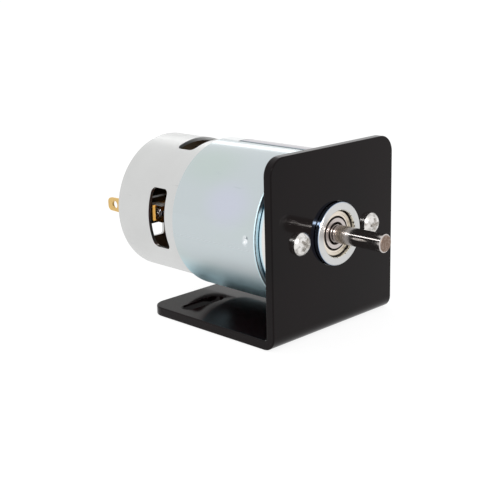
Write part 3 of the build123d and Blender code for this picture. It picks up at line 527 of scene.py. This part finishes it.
TERMINAL_REACH = 10.5 * MM        # rear of the can to the tip
TIP_WIDTH = 4.1 * MM
TIP_CORNER = 1.5 * MM
EYE_FROM_TIP = 3.3 * MM
EYE_RADIUS = 1.2 * MM
BLADE_SET_BACK = 0.25 * MM        # from the front of the CAD solid
LEAD_IN = 0.5 * MM                # slant of the end that enters the holder
LEAD_IN_REACH = 0.1 * MM          # points this near to the front belong to that end
BLADE_BEVEL = 0.1 * MM
BLADE_BEVEL_ANGLE = 40.0          # degrees; edges sharper than this are bevelled
TIP_CORNER_STEPS = 8
EYE_STEPS = 24
SPRING_WIRE = 0.18 * MM           # radius of the wire
SPRING_TURNS = 4.6
SPRING_CLOSENESS = 0.55           # share of the pitch that is lost at both ends
SPRING_STEPS = 28                 # rings of points in each turn
SPRING_WIRE_SIDES = 10


def add_piece(name, shape, slot, body, node):
    """Make a mesh piece of a bmesh, in its slot's material, riding in place of a CAD node."""
    mesh = bpy.data.meshes.new(name)
    shape.to_mesh(mesh)
    shape.free()
    mesh.materials.append(MATERIALS[slot])
    piece = bpy.data.objects.new(name, mesh)
    bpy.context.collection.objects.link(piece)
    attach(piece, body)
    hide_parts(node)
    return piece


def arc(middle, radius, start, end, steps):
    """Points of an arc, from one angle to another in degrees."""
    angles = [math.radians(start + (end - start) * step / steps) for step in range(steps + 1)]
    return [(middle[0] + radius * math.cos(a), middle[1] + radius * math.sin(a)) for a in angles]


def loop_edges(shape, points, place):
    """Closed ring of edges through flat points, each given its place in space."""
    ring = [shape.verts.new(place(*point)) for point in points]
    return [shape.edges.new((ring[i - 1], ring[i])) for i in range(len(ring))]


def terminal_blade(side):
    """Stamped blade: slanted end in the holder, taper behind the can, round tip with an eye."""
    node = "terminal_" + side
    low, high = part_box(node)
    outward = -1.0 if side == "left" else 1.0
    outer = low.x if side == "left" else high.x
    inner = high.x if side == "left" else low.x
    front = low.y + BLADE_SET_BACK
    shoulder = high.y - TERMINAL_REACH
    corner = (high.y - TIP_CORNER, TIP_WIDTH / 2 - TIP_CORNER)
    outline = [(front, -high.z + AXIS_HEIGHT), (shoulder, -high.z + AXIS_HEIGHT)]
    outline += arc((corner[0], -corner[1]), TIP_CORNER, -90, 0, TIP_CORNER_STEPS)
    outline += arc(corner, TIP_CORNER, 0, 90, TIP_CORNER_STEPS)
    outline += [(shoulder, high.z - AXIS_HEIGHT), (front, high.z - AXIS_HEIGHT)]
    eye = arc((high.y - EYE_FROM_TIP, 0.0), EYE_RADIUS, 0, 360, EYE_STEPS)[:-1]

    def place(along, up):
        return (outer, along, AXIS_HEIGHT + up)

    shape = bmesh.new()
    edges = loop_edges(shape, outline, place) + loop_edges(shape, eye, place)
    bmesh.ops.triangle_fill(shape, edges=edges, use_beauty=True)
    grown = bmesh.ops.extrude_face_region(shape, geom=list(shape.faces))["geom"]
    for vertex in (item for item in grown if isinstance(item, bmesh.types.BMVert)):
        vertex.co.x = inner
    middle = (abs(inner) + abs(outer)) / 2
    for vertex in shape.verts:
        if vertex.co.x * outward > middle and vertex.co.y < front + LEAD_IN_REACH:
            vertex.co.y += LEAD_IN
    bmesh.ops.recalc_face_normals(shape, faces=shape.faces)
    piece = add_piece("terminal_blade_" + side, shape, "terminal_brass", "housing", node)
    bevel = piece.modifiers.new("stamped_edges", "BEVEL")
    bevel.width = BLADE_BEVEL
    bevel.segments = 2
    bevel.limit_method = "ANGLE"
    bevel.angle_limit = math.radians(BLADE_BEVEL_ANGLE)


def coil_spring(side):
    """Round-wire brush spring, wound closer at both ends."""
    node = "brush_spring_" + side
    low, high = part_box(node)
    middle_y, middle_z = (low.y + high.y) / 2, (low.z + high.z) / 2
    radius = (high.z - low.z) / 2 - SPRING_WIRE
    steps = int(SPRING_TURNS * SPRING_STEPS)
    shape = bmesh.new()
    rings = []
    for step in range(steps + 1):
        share = step / steps
        rise = share - SPRING_CLOSENESS * math.sin(2 * math.pi * share) / (2 * math.pi)
        x = low.x + SPRING_WIRE + (high.x - low.x - 2 * SPRING_WIRE) * rise
        turn = 2 * math.pi * SPRING_TURNS * share
        centre = Vector((x, middle_y + radius * math.cos(turn), middle_z + radius * math.sin(turn)))
        spoke = Vector((0, math.cos(turn), math.sin(turn)))
        ring = []
        for part in range(SPRING_WIRE_SIDES):
            angle = 2 * math.pi * part / SPRING_WIRE_SIDES
            offset = spoke * math.cos(angle) + Vector((1, 0, 0)) * math.sin(angle)
            ring.append(shape.verts.new(centre + offset * SPRING_WIRE))
        rings.append(ring)
    for first, second in zip(rings, rings[1:]):
        for part in range(SPRING_WIRE_SIDES):
            after = (part + 1) % SPRING_WIRE_SIDES
            shape.faces.new((first[part], first[after], second[after], second[part]))
    shape.faces.new(rings[0])
    shape.faces.new(rings[-1])
    bmesh.ops.recalc_face_normals(shape, faces=shape.faces)
    for face in shape.faces:
        face.smooth = len(face.verts) == 4
    piece = add_piece("coil_spring_" + side, shape, "spring_steel", "housing", node)
    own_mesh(piece)


# ---------------------------------------------------------------- stage

FLOOR_SIZE = 3.0
FLOOR_GLOW_SEEN = 0.88            # glow towards the camera
FLOOR_GLOW_REFLECTED = 0.84       # glow in reflections and through clear pieces
WORLD_LIGHT = 0.55                # surroundings as a light, where they are 1 to the eye


def floor():
    """Pale floor that shows white to the camera and keeps a soft shadow."""
    mesh = bpy.data.meshes.new("floor")
    shape = bmesh.new()
    bmesh.ops.create_grid(shape, x_segments=1, y_segments=1, size=FLOOR_SIZE)
    shape.to_mesh(mesh)
    shape.free()
    plane = bpy.data.objects.new("floor", mesh)
    bpy.context.collection.objects.link(plane)
    material = bpy.data.materials.new("floor_white")
    material.use_nodes = True
    tree = material.node_tree
    tree.nodes.clear()
    output = tree.nodes.new("ShaderNodeOutputMaterial")
    mix = tree.nodes.new("ShaderNodeAddShader")
    diffuse = tree.nodes.new("ShaderNodeBsdfDiffuse")
    diffuse.inputs["Color"].default_value = (0.3, 0.3, 0.3, 1)
    glow = tree.nodes.new("ShaderNodeEmission")
    glow.inputs["Color"].default_value = (1, 1, 1, 1)
    path = tree.nodes.new("ShaderNodeLightPath").outputs
    reflected = add_math(tree, "MAXIMUM", path["Is Glossy Ray"], path["Is Transmission Ray"])
    reflected = add_math(tree, "MULTIPLY", reflected, FLOOR_GLOW_REFLECTED)
    seen = add_math(tree, "MULTIPLY", path["Is Camera Ray"], FLOOR_GLOW_SEEN)
    links = tree.links
    links.new(add_math(tree, "MAXIMUM", seen, reflected), glow.inputs["Strength"])
    links.new(diffuse.outputs[0], mix.inputs[0])
    links.new(glow.outputs[0], mix.inputs[1])
    links.new(mix.outputs[0], output.inputs["Surface"])
    mesh.materials.append(material)


def studio_world():
    """White surroundings, dimmer as a light than they look."""
    world = bpy.data.worlds.new("studio")
    bpy.context.scene.world = world
    world.use_nodes = True
    tree = world.node_tree
    background = tree.nodes["Background"]
    background.inputs["Color"].default_value = (1, 1, 1, 1)
    path = tree.nodes.new("ShaderNodeLightPath").outputs
    looked_at = add_math(tree, "MAXIMUM", path["Is Camera Ray"], path["Is Glossy Ray"])
    looked_at = add_math(tree, "MAXIMUM", looked_at, path["Is Transmission Ray"])
    level = tree.nodes.new("ShaderNodeMapRange")
    level.inputs["To Min"].default_value = WORLD_LIGHT
    level.inputs["To Max"].default_value = 1.0
    tree.links.new(looked_at, level.inputs["Value"])
    tree.links.new(level.outputs["Result"], background.inputs["Strength"])


def softbox(name, place, target, size, radiance):
    """Rectangular studio light aimed at a point."""
    light = bpy.data.lights.new(name, "AREA")
    light.shape = "RECTANGLE"
    light.size, light.size_y = size
    light.energy = radiance * math.pi * size[0] * size[1]
    lamp = bpy.data.objects.new(name, light)
    bpy.context.collection.objects.link(lamp)
    lamp.location = place
    aim = Vector(target) - Vector(place)
    lamp.rotation_mode = "QUATERNION"
    lamp.rotation_quaternion = aim.to_track_quat("-Z", "Y")
    lamp.visible_camera = False
    return lamp


def toward(azimuth, elevation, distance):
    """A place seen from the motor in a direction: azimuth from +X towards +Y."""
    azimuth, elevation = math.radians(azimuth), math.radians(elevation)
    level = distance * math.cos(elevation)
    return Vector((
        level * math.cos(azimuth),
        level * math.sin(azimuth),
        AXIS_HEIGHT + distance * math.sin(elevation),
    ))


def lights():
    """A wide strip behind the motor, a small bright lamp in front and a weak softbox at its left."""
    target = (0, -0.01, AXIS_HEIGHT)
    softbox("backdrop_glow", toward(51, 27, 1.0), target, size=(1.3, 0.09), radiance=1.5)
    front = softbox("front_spot", toward(224.7, 30, 1.2), target, size=(0.15, 0.15), radiance=130.0)
    front.visible_diffuse = False
    softbox("side_softbox", toward(172, 22, 0.85), target, size=(0.5, 0.5), radiance=0.35)


def camera():
    """Camera at the photograph's place, turned by azimuth, elevation and roll."""
    data = bpy.data.cameras.new("camera")
    data.sensor_fit = "AUTO"
    data.sensor_width = SENSOR_WIDTH
    data.lens = CAMERA_LENS
    data.clip_start = 0.01
    data.clip_end = 20.0
    body = bpy.data.objects.new("camera", data)
    bpy.context.collection.objects.link(body)
    azimuth, elevation = math.radians(CAMERA_AZIMUTH), math.radians(CAMERA_ELEVATION)
    back = Vector((
        math.sin(azimuth) * math.cos(elevation),
        -math.cos(azimuth) * math.cos(elevation),
        math.sin(elevation),
    ))
    level = (-back).to_track_quat("-Z", "Y")
    body.rotation_mode = "QUATERNION"
    body.rotation_quaternion = level @ Quaternion((0, 0, 1), math.radians(CAMERA_ROLL))
    body.location = CAMERA_PLACE
    bpy.context.scene.camera = body


bpy.context.scene.view_settings.view_transform = "Standard"
camera()
studio_world()
floor()
lights()
MATERIALS = dress_nodes()
for hand in ("left", "right"):
    terminal_blade(hand)
    coil_spring(hand)
